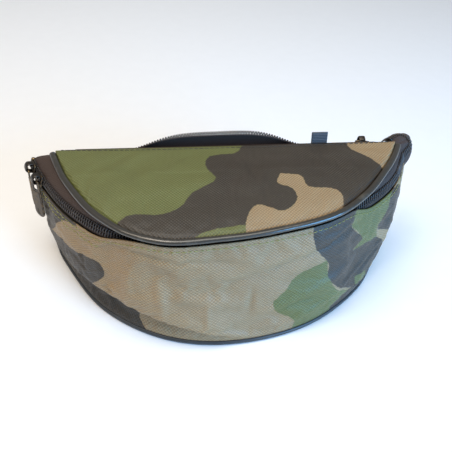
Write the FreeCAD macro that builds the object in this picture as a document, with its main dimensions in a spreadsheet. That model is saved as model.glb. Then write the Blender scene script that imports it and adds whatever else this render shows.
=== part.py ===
import FreeCAD, Part

# Zipped half-moon hand warmer pouch: a flat base, a soft front wall, a back wall with a
# zipped rear pocket, and a lid that opens on a two-way zip.
#
# World frame: +X to the wearer's left, +Y to the back of the pouch, +Z up, origin on the
# ground under the middle of the base, millimetres.
#
# The lid and both zips are drawn in a "top frame". Its origin is the middle of the lid's
# back edge, its X runs along that edge, and its Z is normal to the lid. The front zip lies
# on a circle whose axis is the top frame's Z.

import math
import os

from FreeCAD import Placement, Rotation, Vector

# ---------------------------------------------------------------- driving dimensions

SIZES = [
    # the top frame
    ("top_back", 50.0),            # lid's back edge behind the origin
    ("top_height", 98.0),          # lid's back edge above the ground
    ("top_roll", -3.5),            # the filled pouch stands higher at its right end, degrees
    ("top_pitch", 3.0),            # the lid falls a little to the front, degrees
    # sheets
    ("canvas", 1.0),
    ("lining", 0.8),
    ("tape_thickness", 0.6),
    ("sheet_gap", 0.2),
    ("base_canvas", 1.2),
    ("base_board", 2.0),
    ("foam", 4.0),
    # pipings and bindings
    ("lid_piping_width", 4.2),
    ("lid_piping_height", 3.4),
    ("base_piping_width", 3.2),
    ("base_piping_height", 3.6),
    ("binding_width", 1.4),
    ("binding_height", 3.4),
    # the front zip's circle, in the top frame
    ("zip_radius", 151.5),
    ("zip_centre_right", -4.0),
    ("zip_centre_back", 61.0),
    ("zip_drop", 13.0),            # circle below the lid
    ("zip_roll", 70.0),            # the chain's face leans out from vertical, degrees
    ("zip_left", -67.6),           # angles round the circle from its front, degrees
    ("lid_chain_left", -57.0),
    ("lid_chain_right", 60.2),
    ("zip_right", 68.0),
    ("left_end_stop", -57.3),
    ("right_end_stop", 60.5),
    ("chain_gap", 1.2),
    ("chain_half", 2.5),           # width of one row of coil
    ("coil_thickness", 2.2),
    # the slider and its pull
    ("slider_length", 11.3),
    ("slider_width", 8.4),
    ("blade", 1.2),
    ("blade_gap", 2.6),
    ("post_length", 3.0),
    ("post_width", 0.6),
    ("crown_length", 1.4),
    ("crown_width", 7.6),
    ("crown_height", 4.8),
    ("crown_wall", 1.0),
    ("pull_length", 34.0),
    ("pull_top", 7.6),             # width at the slot
    ("pull_wide", 9.4),            # width near the tip
    ("pull_thickness", 1.2),
    ("pull_rail", 1.2),
    # where the sliders park, degrees round the circle
    ("slider_a_park", -65.6),
    ("slider_b_park", -60.0),
    ("pull_a_yaw", -12.0),
    ("pull_b_yaw", 12.0),
    # the rear zip, in the top frame
    ("rear_zip_back", 8.5),
    ("rear_zip_drop", 9.0),
    ("rear_zip_half", 112.0),
    ("rear_slider_park", 104.0),
    # the back
    ("back_half_base", 129.0),
    ("back_half_top", 122.0),
    ("pocket_depth", 10.6),
    ("pocket_half", 127.0),
    ("pocket_top", 68.0),
    ("belt_loop_width", 25.0),
    ("belt_loop_length", 42.0),
    ("belt_loop_gap", 6.0),
    ("belt_loop_offset", 68.0),
    ("webbing", 1.4),
    ("hanger_width", 12.0),
    ("hanger_length", 13.0),
]

# The lid's edge, in the top frame: deepest left of the middle, where the filled front sags.
LID_EDGE = [
    (-125.0, -1.0), (-112.0, -31.0), (-84.0, -69.0), (-43.0, -90.5),
    (15.0, -85.5), (68.0, -69.5), (107.0, -31.0), (125.0, -1.0),
]

# The base's edge, in the world frame.
BASE_EDGE = [
    (-134.0, 49.0), (-122.0, 23.0), (-90.0, -22.0), (-45.0, -49.0),
    (5.0, -53.5), (60.0, -38.0), (106.0, -3.0), (132.0, 38.0), (136.0, 49.0),
]

doc = FreeCAD.newDocument("hand_warmer_pouch")
sheet = doc.addObject("Spreadsheet::Sheet", "Sizes")
parts = []


def fill_sheet():
    for row, (alias, value) in enumerate(SIZES, start=1):
        sheet.set("A%d" % row, alias)
        sheet.set("B%d" % row, str(value))
        sheet.setAlias("B%d" % row, alias)
    doc.recompute()


def size(alias):
    return float(sheet.get(alias))


# ---------------------------------------------------------------- frames

def top_frame():
    origin = Vector(0, size("top_back"), size("top_height"))
    roll = Rotation(Vector(0, 1, 0), size("top_roll"))
    pitch = Rotation(Vector(1, 0, 0), size("top_pitch"))
    return Placement(origin, roll * pitch)


def zip_axis_frame():
    """The front zip circle's own frame: its centre, with Z along its axis."""
    centre = Vector(size("zip_centre_right"), size("zip_centre_back"), -size("zip_drop"))
    return top_frame() * Placement(centre, Rotation())


def chain_frame(angle):
    """A point of the front chain: X along it, Z out of its face, -Y towards the wall."""
    turn = Placement(Vector(), Rotation(Vector(0, 0, 1), angle))
    roll = Rotation(Vector(1, 0, 0), size("zip_roll"))
    return zip_axis_frame() * turn * Placement(Vector(0, -size("zip_radius"), 0), roll)


def rear_chain_frame(right):
    """A point of the rear chain: it faces back, so X runs the other way."""
    at = Vector(right, size("rear_zip_back"), -size("rear_zip_drop"))
    face_back = Rotation(Vector(0, 0, 1), 180)
    roll = Rotation(Vector(1, 0, 0), size("zip_roll"))
    return top_frame() * Placement(at, face_back * roll)


def slant(across):
    """Outward and upward shift of a point that lies across the leaning chain."""
    roll = math.radians(size("zip_roll"))
    return across * math.cos(roll), -across * math.sin(roll)


# ---------------------------------------------------------------- outlines

def smooth(points):
    curve = Part.BSplineCurve()
    curve.interpolate([Vector(x, y, 0) for x, y in points])
    return curve


def offset(points, distance, count=17):
    """The outline through the points, moved outwards by a distance."""
    curve = smooth(points)
    first, last = curve.FirstParameter, curve.LastParameter
    moved = []
    for step in range(count):
        where = first + (last - first) * step / (count - 1)
        point = curve.value(where)
        along = curve.tangent(where)[0]
        moved.append((point.x + along.y * distance, point.y - along.x * distance))
    return moved


def zip_arc(outward, up, start, end, count=17):
    """Points beside the front chain, in the top frame."""
    radius = size("zip_radius") + outward
    points = []
    for step in range(count):
        angle = math.radians(start + (end - start) * step / (count - 1))
        points.append(Vector(
            size("zip_centre_right") + radius * math.sin(angle),
            size("zip_centre_back") - radius * math.cos(angle),
            up - size("zip_drop"),
        ))
    return points


def spline_edge(points):
    curve = Part.BSplineCurve()
    curve.interpolate(points)
    return curve.toShape()


def ring_section(outer, inner):
    """A closed wire round the strip between two open curves."""
    return Part.Wire([
        spline_edge(outer),
        Part.makeLine(outer[-1], inner[-1]),
        spline_edge(inner[::-1]),
        Part.makeLine(inner[0], outer[0]),
    ])


# ---------------------------------------------------------------- kinds of piece

def keep(item, label):
    item.Label = label
    parts.append(item)
    return item


def origin_plane(body, role):
    for item in body.Origin.OriginFeatures:
        if item.Role == role:
            return item
    raise RuntimeError("no plane " + role)


def sketch_on(body, role, geometry):
    sketch = body.newObject("Sketcher::SketchObject", body.Name + "_sketch")
    sketch.AttachmentSupport = [(origin_plane(body, role), "")]
    sketch.MapMode = "FlatFace"
    for item in geometry:
        sketch.addGeometry(item, False)
    return sketch


def line(start, end):
    return Part.LineSegment(Vector(*start, 0), Vector(*end, 0))


def polygon(points):
    return [line(a, b) for a, b in zip(points, points[1:] + points[:1])]


def padded_body(label, role, geometry, thickness, placement, middle=False):
    """A sheet or plate: a closed sketch, padded by a thickness from the size sheet."""
    body = doc.addObject("PartDesign::Body", label)
    pad = body.newObject("PartDesign::Pad", label + "_pad")
    pad.Profile = sketch_on(body, role, geometry)
    pad.setExpression("Length", "Sizes." + thickness)
    pad.SideType = "Symmetric" if middle else "One side"
    body.Placement = placement
    return keep(body, label)


def half_moon(points):
    """A spline round the curved edge, closed by the straight back edge."""
    return [smooth(points), line(points[-1], points[0])]


def strip(outer, inner):
    """The strip between two curved edges, open at the back."""
    return [
        smooth(outer), line(outer[-1], inner[-1]),
        smooth(inner), line(inner[0], outer[0]),
    ]


def wall(label, sections, placement):
    """A curved sheet, lofted through strips at different heights."""
    shape = Part.makeLoft([ring_section(outer, inner) for outer, inner in sections], True, True)
    item = doc.addObject("Part::Feature", label)
    item.Shape = shape
    item.Placement = placement
    return keep(item, label)


def box(name, length, width, height, place):
    """A block with its middle at a place, sized by names or formulas of the size sheet."""
    item = doc.addObject("Part::Box", name)
    item.setExpression("Length", length)
    item.setExpression("Width", width)
    item.setExpression("Height", height)
    doc.recompute([item])
    corner = Vector(item.Length.Value, item.Width.Value, item.Height.Value) * -0.5
    item.Placement = Placement(place + corner, Rotation())
    return item


# ---------------------------------------------------------------- base

def base_at(height):
    return Placement(Vector(0, 0, height), Rotation())


def build_base():
    canvas = size("base_canvas")
    board = size("base_board")
    gap = size("sheet_gap")
    padded_body("bottom_panel", "XY_Plane", half_moon(offset(BASE_EDGE, -1.6)),
                "base_canvas", base_at(0))
    padded_body("bottom_board", "XY_Plane", half_moon(offset(BASE_EDGE, -6.0)),
                "base_board", base_at(canvas + gap))
    padded_body("bottom_lining", "XY_Plane", half_moon(offset(BASE_EDGE, -4.0)),
                "lining", base_at(canvas + board + 2 * gap))
    outer = offset(BASE_EDGE, size("base_piping_width") - 1.2)
    inner = offset(BASE_EDGE, -1.2)
    padded_body("bottom_piping", "XY_Plane", strip(outer, inner),
                "base_piping_height", base_at(0))


# ---------------------------------------------------------------- walls

def level(points, height):
    return [Vector(x, y, height) for x, y in points]


def front_wall(label, inset, thickness, low, top_drop):
    """Base edge, a knee straight under the zip, and the top edge beside the chain.

    The knee keeps the wall clear of a hanging pull all the way round."""
    frame = top_frame()
    left, right = size("zip_left") + 0.6, size("zip_right") - 0.6
    faces = (inset, inset + thickness)
    sections = [[level(offset(BASE_EDGE, -face), low) for face in faces]]
    for outward, up in ((3.0, -size("pull_length") - 6), (2.8, top_drop)):
        curves = [zip_arc(outward - face, up, left, right) for face in faces]
        sections.append([[frame.multVec(point) for point in curve] for curve in curves])
    return wall(label, sections, Placement())


def build_front():
    front_wall("front_panel", 0, size("canvas"), 3.8, -6.0)
    front_wall("front_lining", 3.0, size("lining"), 5.4, -10.0)


def build_base_binding():
    """The bound seam allowance that stands inside the foot of the wall."""
    outer = offset(BASE_EDGE, -5.8)[1:-1]
    inner = offset(BASE_EDGE, -5.8 - size("binding_width"))[1:-1]
    padded_body("base_binding", "XY_Plane", strip(outer, inner), "binding_height", base_at(5.4))


def back_sheet(label, front_face, half_trim, low, high, thickness):
    """A sheet across the back, with its top edge rolled like the lid."""
    rise = math.tan(math.radians(-size("top_roll")))
    base = size("back_half_base") - half_trim
    top = size("back_half_top") - half_trim
    outline = [(-base, low), (base, low), (base, 60), (top, high + top * rise),
               (-top, high - top * rise), (-base, 60)]
    place = Placement(Vector(0, front_face + size(thickness), 0), Rotation())
    return padded_body(label, "XZ_Plane", polygon(outline), thickness, place)


def build_back():
    canvas_face = size("top_back") - 2.6
    foam_face = canvas_face - size("sheet_gap") - size("foam")
    lining_face = foam_face - size("sheet_gap") - size("lining")
    back_sheet("back_panel", canvas_face, 0, 5.4, 94.0, "canvas")
    back_sheet("back_padding", foam_face, 3, 5.4, 88.0, "foam")
    back_sheet("back_lining", lining_face, 4, 5.4, 91.0, "lining")


# ---------------------------------------------------------------- lid

def lid_at(height):
    return top_frame() * Placement(Vector(0, 0, height), Rotation())


def build_lid():
    canvas = size("canvas")
    lining = size("lining")
    gap = size("sheet_gap")
    under = -canvas - gap - lining
    padded_body("lid_panel", "XY_Plane", half_moon(LID_EDGE), "canvas", lid_at(-canvas))
    padded_body("lid_lining", "XY_Plane", half_moon(offset(LID_EDGE, -2.5)),
                "lining", lid_at(under))
    outer = offset(LID_EDGE, 0.3 + size("lid_piping_width"))
    inner = offset(LID_EDGE, 0.3)
    padded_body("lid_piping", "XY_Plane", strip(outer, inner),
                "lid_piping_height", lid_at(-size("lid_piping_height")))
    outer = offset(LID_EDGE, -4.5)[1:-1]
    inner = offset(LID_EDGE, -4.5 - size("binding_width"))[1:-1]
    padded_body("lid_binding", "XY_Plane", strip(outer, inner),
                "binding_height", lid_at(under - gap - size("binding_height")))


# ---------------------------------------------------------------- front zip

def chain_row(label, side, start, end):
    """One row of coil, turned about the circle's axis. Side is -1 by the lid, 1 by the wall."""
    near = side * size("chain_gap") / 2
    far = near + side * size("chain_half")
    roll = math.radians(size("zip_roll"))
    half = size("coil_thickness") / 2
    corners = []
    for across, out in ((near, -half), (far, -half), (far, half), (near, half)):
        outward = across * math.cos(roll) + out * math.sin(roll)
        up = -across * math.sin(roll) + out * math.cos(roll)
        corners.append((size("zip_radius") + outward, up))
    body = doc.addObject("PartDesign::Body", label)
    turned = body.newObject("PartDesign::Revolution", label + "_turn")
    sketch = sketch_on(body, "XZ_Plane", polygon(corners))
    turned.Profile = sketch
    turned.ReferenceAxis = (sketch, ["V_Axis"])
    turned.Midplane = True
    turned.setExpression("Angle", "Sizes.%s - Sizes.%s" % (end, start))
    middle = (size(start) + size(end)) / 2 - 90
    body.Placement = zip_axis_frame() * Placement(Vector(), Rotation(Vector(0, 0, 1), middle))
    return keep(body, label)


def build_front_zip():
    chain_row("lid_zip_coil", -1, "lid_chain_left", "lid_chain_right")
    chain_row("body_zip_coil", 1, "zip_left", "zip_right")
    chain_row("zip_end_left", -1, "zip_left", "left_end_stop")
    chain_row("zip_end_right", -1, "right_end_stop", "zip_right")


def arcs(outward, up, start, end, count=17):
    """The two faces of a tape at one height beside the front chain."""
    return [zip_arc(outward - more, up, start, end, count) for more in (0, size("tape_thickness"))]


def build_front_tapes():
    """Each tape leaves its coil in line with the slider's slit, then turns to its seam."""
    edge = size("chain_gap") / 2 + size("chain_half") + 0.2
    beside, clear = slant(-edge), slant(-edge - 2.1)
    under = -size("lid_piping_height") - 0.2
    seam = []
    for more in (0, size("tape_thickness")):
        curve = offset(LID_EDGE, -0.6 - more)[1:-1]
        seam.append([Vector(x, y, under) for x, y in curve])
    left, right = size("lid_chain_left"), size("lid_chain_right")
    low = arcs(beside[0] + 0.3, beside[1], left, right, len(seam[0]))
    turn = arcs(clear[0] + 0.3, clear[1], left, right, len(seam[0]))
    wall("lid_zip_tape", [low, turn, seam], top_frame())

    left, right = size("zip_left"), size("zip_right")
    wall("body_zip_tape", [arcs(0.6, -9.5, left, right), arcs(1.5, -4.7, left, right)], top_frame())


def build_front_stops():
    """A crimped stop over each end of the front chain."""
    stops = []
    for name, angle in (("left", size("zip_left") - 0.75), ("right", size("zip_right") + 0.75)):
        stop = box("stop_" + name, "2.4", "Sizes.slider_width - 2", "3.2", Vector())
        stop.Placement = chain_frame(angle) * stop.Placement
        stops.append(stop)
    group = doc.addObject("Part::Compound", "front_zip_stops")
    group.Links = stops
    return keep(group, "front_zip_stops")


# ---------------------------------------------------------------- sliders

def slider_body(label, place):
    """Two blades joined by a post between the rows of coil, with a slit for each tape."""
    level_up = size("blade_gap") / 2 + size("blade") / 2
    flange_up = size("blade_gap") / 2 - 0.25
    side = size("slider_width") / 2 - 0.35
    pieces = [
        box(label + "_top", "Sizes.slider_length", "Sizes.slider_width", "Sizes.blade",
            Vector(0, 0, level_up)),
        box(label + "_bottom", "Sizes.slider_length", "Sizes.slider_width", "Sizes.blade",
            Vector(0, 0, -level_up)),
        box(label + "_post", "Sizes.post_length", "Sizes.post_width", "Sizes.blade_gap + 0.4",
            Vector(size("slider_length") / 2 - size("post_length") / 2, 0, 0)),
    ]
    for name, across in (("lid", side), ("wall", -side)):
        for face, up in (("over", flange_up), ("under", -flange_up)):
            pieces.append(box("%s_%s_%s" % (label, name, face), "Sizes.slider_length - 3",
                              "0.7", "0.5", Vector(0, across, up)))
    fused = doc.addObject("Part::MultiFuse", label)
    fused.Shapes = pieces
    fused.Placement = place
    return keep(fused, label)


def slider_crown(label, place):
    """The arch across the top blade that holds the pull."""
    foot = size("blade_gap") / 2 + size("blade") + 0.02
    middle = foot + size("crown_height") / 2
    block = box(label + "_block", "Sizes.crown_length", "Sizes.crown_width",
                "Sizes.crown_height", Vector(0, 0, middle))
    hole = box(label + "_hole", "Sizes.crown_length * 3",
               "Sizes.crown_width - 2 * Sizes.crown_wall",
               "Sizes.crown_height", Vector(0, 0, middle - size("crown_wall")))
    arch = doc.addObject("Part::Cut", label)
    arch.Base = block
    arch.Tool = hole
    arch.Placement = place
    return keep(arch, label)


def rail_place():
    """Where the pull's top rail rests inside the crown, in the chain's frame."""
    up = size("blade_gap") / 2 + size("blade") + 2.8
    return Vector(0, -1.8, up)


def pull_outline():
    """A tab that widens to a round tip, hanging down from the middle of its top rail."""
    top = size("pull_top") / 2
    wide = size("pull_wide") / 2
    rail = size("pull_rail") / 2
    low = rail - size("pull_length")
    shoulder = low + wide
    slot = top - 1.9
    outline = [
        line((-top, rail), (top, rail)),
        line((top, rail), (wide, shoulder)),
        Part.Arc(Vector(wide, shoulder, 0), Vector(0, low, 0), Vector(-wide, shoulder, 0)),
        line((-wide, shoulder), (-top, rail)),
    ]
    slot_hole = polygon([(-slot, -rail), (slot, -rail), (slot, -rail - 7), (-slot, -rail - 7)])
    eye = Part.Circle(Vector(0, shoulder, 0), Vector(0, 0, 1), 1.6)
    return outline + slot_hole + [eye]


def pull(label, rail, heading):
    """Hangs straight down from its rail, which lies level at a heading in degrees."""
    place = Placement(rail, Rotation(Vector(0, 0, 1), heading))
    return padded_body(label, "XZ_Plane", pull_outline(), "pull_thickness", place, middle=True)


def build_front_sliders():
    for name in ("a", "b"):
        angle = size("slider_%s_park" % name)
        place = chain_frame(angle)
        slider_body("slider_%s_body" % name, place)
        slider_crown("slider_%s_crown" % name, place)
        pull("pull_%s" % name, place.multVec(rail_place()), angle + size("pull_%s_yaw" % name))


# ---------------------------------------------------------------- rear pocket and zip

def rear_chain_row(label, side):
    near = side * size("chain_gap") / 2
    middle = near + side * size("chain_half") / 2
    row = box(label, "Sizes.rear_zip_half * 2", "Sizes.chain_half", "Sizes.coil_thickness",
              Vector(0, -middle, 0))
    row.Placement = rear_chain_frame(0) * row.Placement
    return keep(row, label)


def rear_tape(label, side, width):
    """A flat tape beyond a row of coil, sewn to the panel it meets."""
    middle = side * (size("chain_gap") / 2 + size("chain_half") + 0.1 + width / 2)
    sheet_box = box(label, "Sizes.rear_zip_half * 2", str(width), "Sizes.tape_thickness",
                    Vector(0, -middle, 0))
    sheet_box.Placement = rear_chain_frame(0) * sheet_box.Placement
    return keep(sheet_box, label)


def build_rear_zip():
    rear_chain_row("rear_zip_front_coil", -1)
    rear_chain_row("rear_zip_back_coil", 1)
    rear_tape("rear_zip_front_tape", -1, 2.0)
    rear_tape("rear_zip_back_tape", 1, 4.0)
    place = rear_chain_frame(size("rear_slider_park"))
    slider_body("rear_slider_body", place)
    slider_crown("rear_slider_crown", place)
    pull("rear_pull", place.multVec(rail_place()), 180)
    stops = []
    for name, side in (("left", -1), ("right", 1)):
        stop = box("rear_stop_" + name, "2.4", "Sizes.slider_width - 2", "3.2", Vector())
        stop.Placement = rear_chain_frame(side * (size("rear_zip_half") + 1.5)) * stop.Placement
        stops.append(stop)
    group = doc.addObject("Part::Compound", "rear_zip_stops")
    group.Links = stops
    keep(group, "rear_zip_stops")


def build_pocket():
    """A shallow tray of canvas on the back, open at the top under the rear zip."""
    low = 5.4
    skin = size("canvas")
    front = size("top_back") - 1.2
    depth = size("pocket_depth")
    height = size("pocket_top")
    outer = box("pocket_outer", "Sizes.pocket_half * 2", "Sizes.pocket_depth",
                "Sizes.pocket_top", Vector(0, front + depth / 2, low + height / 2))
    inner = box("pocket_inner", "Sizes.pocket_half * 2 - 2 * Sizes.canvas",
                "Sizes.pocket_depth", "Sizes.pocket_top",
                Vector(0, front + depth / 2 - skin, low + height / 2 + skin))
    tray = doc.addObject("Part::Cut", "rear_pocket_panel")
    tray.Base = outer
    tray.Tool = inner
    keep(tray, "rear_pocket_panel")


def build_belt_loops():
    """A strap sewn down at both ends, with room for a belt behind it."""
    face = size("top_back") - 1.2 + size("pocket_depth") + 0.1
    strap = size("webbing")
    gap = size("belt_loop_gap")
    length = size("belt_loop_length")
    low = 7.0
    for name, side in (("left", -1), ("right", 1)):
        outline = [(0, 0), (gap + strap, 0), (gap + strap, length), (0, length)]
        window = [(0.9, 4), (gap, 4), (gap, length - 4), (0.9, length - 4)]
        turned = Rotation(Vector(0, 0, 1), 180)
        middle = Vector(side * size("belt_loop_offset"), face, low)
        flip = [(-y, z) for y, z in outline]
        flip_window = [(-y, z) for y, z in window]
        padded_body("belt_loop_" + name, "YZ_Plane", polygon(flip) + polygon(flip_window),
                    "belt_loop_width", Placement(middle, turned), middle=True)


def build_hanger():
    """A folded tab of webbing sewn in behind the lid's back edge."""
    tab = box("hanger_tab", "Sizes.hanger_width", "Sizes.webbing", "Sizes.hanger_length",
              Vector(0, 0, size("hanger_length") / 2))
    lean = Rotation(Vector(1, 0, 0), -12)
    tab.Placement = top_frame() * Placement(Vector(68, 1.6, -5), lean) * tab.Placement
    keep(tab, "hanger_tab")


# ---------------------------------------------------------------- build, check and write

def check(item):
    if "Invalid" in item.State or "Error" in item.State:
        raise RuntimeError("%s failed: %s" % (item.Label, item.State))


def write_parts():
    os.makedirs("parts", exist_ok=True)
    for item in doc.Objects:
        check(item)
    for part in parts:
        shape = part.Shape
        if shape.isNull() or not shape.isValid() or shape.Volume <= 0:
            raise RuntimeError(part.Label + " has no valid solid")
        shape.exportStep("parts/%s.step" % part.Label)


fill_sheet()
build_base()
build_front()
build_base_binding()
build_back()
build_lid()
build_front_zip()
build_front_tapes()
build_front_stops()
build_front_sliders()
build_rear_zip()
build_pocket()
build_belt_loops()
build_hanger()
doc.recompute()
write_parts()
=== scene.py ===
import math
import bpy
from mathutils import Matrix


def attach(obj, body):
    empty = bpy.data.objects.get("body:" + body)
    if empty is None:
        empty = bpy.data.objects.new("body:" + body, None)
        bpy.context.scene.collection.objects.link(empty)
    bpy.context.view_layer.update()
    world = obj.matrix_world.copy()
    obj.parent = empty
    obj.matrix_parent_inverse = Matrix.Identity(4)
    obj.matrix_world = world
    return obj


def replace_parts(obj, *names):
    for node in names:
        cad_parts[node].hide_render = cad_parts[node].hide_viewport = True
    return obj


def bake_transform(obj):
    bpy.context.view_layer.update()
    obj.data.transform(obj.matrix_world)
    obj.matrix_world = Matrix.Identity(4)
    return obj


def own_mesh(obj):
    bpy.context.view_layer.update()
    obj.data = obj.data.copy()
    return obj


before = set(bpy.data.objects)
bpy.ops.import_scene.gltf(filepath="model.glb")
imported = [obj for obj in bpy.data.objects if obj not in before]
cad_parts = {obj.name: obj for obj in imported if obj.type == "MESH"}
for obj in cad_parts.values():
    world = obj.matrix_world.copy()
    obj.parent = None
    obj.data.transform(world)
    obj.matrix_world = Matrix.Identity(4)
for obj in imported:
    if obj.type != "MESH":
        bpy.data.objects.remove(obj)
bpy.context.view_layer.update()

import bpy
import numpy as np
from mathutils import Matrix, Vector, noise

# ---------------------------------------------------------------- frames, in millimetres

TOP = (Matrix.Translation((0, 50, 98)) @ Matrix.Rotation(math.radians(-3.5), 4, "Y")
       @ Matrix.Rotation(math.radians(3), 4, "X"))
TOP_R = np.array(TOP.to_3x3())
TOP_O = np.array([0.0, 50.0, 98.0])
RADIUS, RIGHT, BACK, DROP, ROLL = 151.5, -4.0, 61.0, 13.0, math.radians(70)

LID_EDGE = [(-125, -1), (-119, -16), (-112, -31), (-96, -56), (-82, -71), (-66, -83), (-43, -90.5),
            (-16, -89.5), (18, -85), (61, -73), (88, -53.5), (109, -28), (119, -13), (125, -1)]
BASE_EDGE = [(-134, 49), (-122, 23), (-90, -22), (-45, -49), (5, -53.5), (60, -38), (106, -3),
             (132, 38), (136, 49)]


def from_top(points):
    """Points of the lid's frame, as an array of world millimetres."""
    return np.asarray(points, float) @ TOP_R.T + TOP_O


def step(low, high, x):
    t = np.clip((np.asarray(x, float) - low) / (high - low), 0, 1)
    return t * t * (3 - 2 * t)


def bell(x, middle, width):
    return np.exp(-((np.asarray(x, float) - middle) / width) ** 2)


def curve(points, count, fine=24):
    """A smooth line through points, sampled evenly along its length."""
    p = np.asarray(points, float)
    p = np.vstack([2 * p[0] - p[1], p, 2 * p[-1] - p[-2]])
    t = np.linspace(0, 1, fine, endpoint=False)[:, None]
    runs = []
    for a, b, c, d in zip(p, p[1:], p[2:], p[3:]):
        runs.append(0.5 * (2 * b + (c - a) * t + (2 * a - 5 * b + 4 * c - d) * t ** 2
                           + (3 * b - a - 3 * c + d) * t ** 3))
    line = np.vstack(runs + [p[-2][None]])
    return even(line, count)


def even(line, count):
    length = np.concatenate([[0], np.cumsum(np.linalg.norm(np.diff(line, axis=0), axis=1))])
    where = np.linspace(0, length[-1], count)
    return np.stack([np.interp(where, length, line[:, k]) for k in range(line.shape[1])], 1)


def tangents(line):
    t = np.gradient(line, axis=0)
    return t / np.linalg.norm(t, axis=1)[:, None]


def outset(line, distance):
    """A plan outline moved outwards. It runs from left to right round the front."""
    t = tangents(line[:, :2])
    moved = line.copy()
    moved[:, 0] += t[:, 1] * distance
    moved[:, 1] -= t[:, 0] * distance
    return moved


def flat(line, height):
    return np.column_stack([line[:, :2], np.full(len(line), float(height))])


def ring(angle, out=0.0, up=0.0):
    """A point beside the front zip's circle, in the lid's frame."""
    a = np.radians(np.asarray(angle, float))
    r = RADIUS + out
    return np.stack([RIGHT + r * np.sin(a), BACK - r * np.cos(a),
                     np.zeros_like(a) + up - DROP], -1)


def wander(points, scale, seed, octaves=3):
    """Smooth noise from -1 to 1 at each point, the same on each run."""
    flat_points = np.asarray(points, float).reshape(-1, 3) * scale + seed * 17.3
    values = [noise.fractal(Vector(p), 0.6, 2.1, octaves) for p in flat_points]
    return np.array(values).reshape(np.asarray(points).shape[:-1])


# ---------------------------------------------------------------- meshes

def mesh_object(name, verts, faces, material, body, cloth=None, smooth=True):
    me = bpy.data.meshes.new(name)
    me.from_pydata((np.asarray(verts) * 0.001).tolist(), [], faces)
    me.validate()
    me.polygons.foreach_set("use_smooth", [smooth] * len(me.polygons))
    if cloth is not None:
        layer = me.attributes.new("cloth", "FLOAT_VECTOR", "POINT")
        layer.data.foreach_set("vector", np.ascontiguousarray(cloth, np.float32).ravel())
    me.materials.append(material)
    ob = bpy.data.objects.new(name, me)
    bpy.context.scene.collection.objects.link(ob)
    if isinstance(body, str):
        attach(ob, body)
    return ob


def grid_faces(rows, cols, wrap=False):
    i, j = np.meshgrid(np.arange(rows - 1), np.arange(cols if wrap else cols - 1), indexing="ij")
    k = (j + 1) % cols
    return np.stack([i * cols + j, i * cols + k, (i + 1) * cols + k, (i + 1) * cols + j],
                    -1).reshape(-1, 4).tolist()


def cloth_lengths(P):
    """Distances along and across a grid of points, in millimetres, as cloth coordinates."""
    along = np.linalg.norm(np.diff(P, axis=0), axis=2).mean(1)
    across = np.linalg.norm(np.diff(P, axis=1), axis=2).mean(0)
    u = np.concatenate([[0], np.cumsum(along)])
    v = np.concatenate([[0], np.cumsum(across)])
    return np.stack([*np.meshgrid(u, v, indexing="ij"), np.zeros(P.shape[:2])], -1)


def sheet_object(name, P, material, body, thick=0.9, cloth=None, side=0.0):
    """A sheet from a grid of points (rows, columns, 3)."""
    if cloth is None:
        cloth = cloth_lengths(P)
    rows, cols = P.shape[:2]
    ob = mesh_object(name, P.reshape(-1, 3), grid_faces(rows, cols), material, body,
                     cloth.reshape(-1, 3))
    solid = ob.modifiers.new("thickness", "SOLIDIFY")
    solid.thickness = thick * 0.001
    solid.offset = side
    solid.use_even_offset = False
    return ob


def stand_in(piece, *nodes):
    """Hides the CAD nodes that a piece stands in for, if any."""
    if nodes:
        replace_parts(piece, *nodes)
    return piece


def sides_of(line):
    """Two unit vectors across a line of points, carried along it without twist."""
    t = tangents(line)
    side = np.cross(t[0], [0, 0, 1.0])
    if np.linalg.norm(side) < 0.1:
        side = np.array([1.0, 0, 0])
    out = []
    for k in range(len(line)):
        side = side - t[k] * side.dot(t[k])
        side /= np.linalg.norm(side)
        out.append(side.copy())
    a = np.array(out)
    return a, np.cross(a, t)


def bent(a, b, c, s):
    """From a to c in shares s, drawn towards b."""
    return (1 - s) ** 2 * a + 2 * s * (1 - s) * b + s ** 2 * c


def ribbon(path, half, cols):
    """A flat strip along a path, as wide across X as twice half."""
    w = np.linspace(-half, half, cols)
    return path[:, None] + np.array([1.0, 0, 0]) * w[None, :, None]


def tube_arrays(line, profile, a=None, b=None, scale=None):
    """Vertices and faces of a profile swept along a line, closed at both ends."""
    if a is None:
        a, b = sides_of(line)
    if scale is None:
        scale = np.ones(len(line))
    prof = np.asarray(profile, float)
    P = (line[:, None] + a[:, None] * prof[None, :, :1] * scale[:, None, None]
         + b[:, None] * prof[None, :, 1:] * scale[:, None, None])
    rows, cols = P.shape[:2]
    faces = grid_faces(rows, cols, wrap=True)
    faces.append(list(range(cols))[::-1])
    faces.append([(rows - 1) * cols + k for k in range(cols)])
    length = np.concatenate([[0], np.cumsum(np.linalg.norm(np.diff(line, axis=0), axis=1))])
    round_ = np.concatenate([[0], np.cumsum(np.linalg.norm(np.diff(prof, axis=0), axis=1))])
    cloth = np.stack([*np.meshgrid(length, round_, indexing="ij"), np.zeros((rows, cols))], -1)
    return P.reshape(-1, 3), faces, cloth.reshape(-1, 3)


def join_arrays(pieces):
    verts, faces, cloth, count = [], [], [], 0
    for v, f, c in pieces:
        verts.append(v)
        cloth.append(c)
        faces += [[i + count for i in face] for face in f]
        count += len(v)
    return np.vstack(verts), faces, np.vstack(cloth)


def tube_object(name, line, profile, material, body, slot, **more):
    v, f, c = tube_arrays(line, profile, **more)
    return mesh_object(name, v, f, material, body, c)


def oval(width, height, count=14, power=1.0):
    t = np.linspace(0, 2 * math.pi, count, endpoint=False)
    return np.column_stack([width / 2 * np.sign(np.cos(t)) * np.abs(np.cos(t)) ** power,
                            height / 2 * np.sign(np.sin(t)) * np.abs(np.sin(t)) ** power])


def picked(line, index):
    """Points of a line at fractional indices."""
    return np.stack([np.interp(index, np.arange(len(line)), line[:, q]) for q in range(3)], 1)


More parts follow.
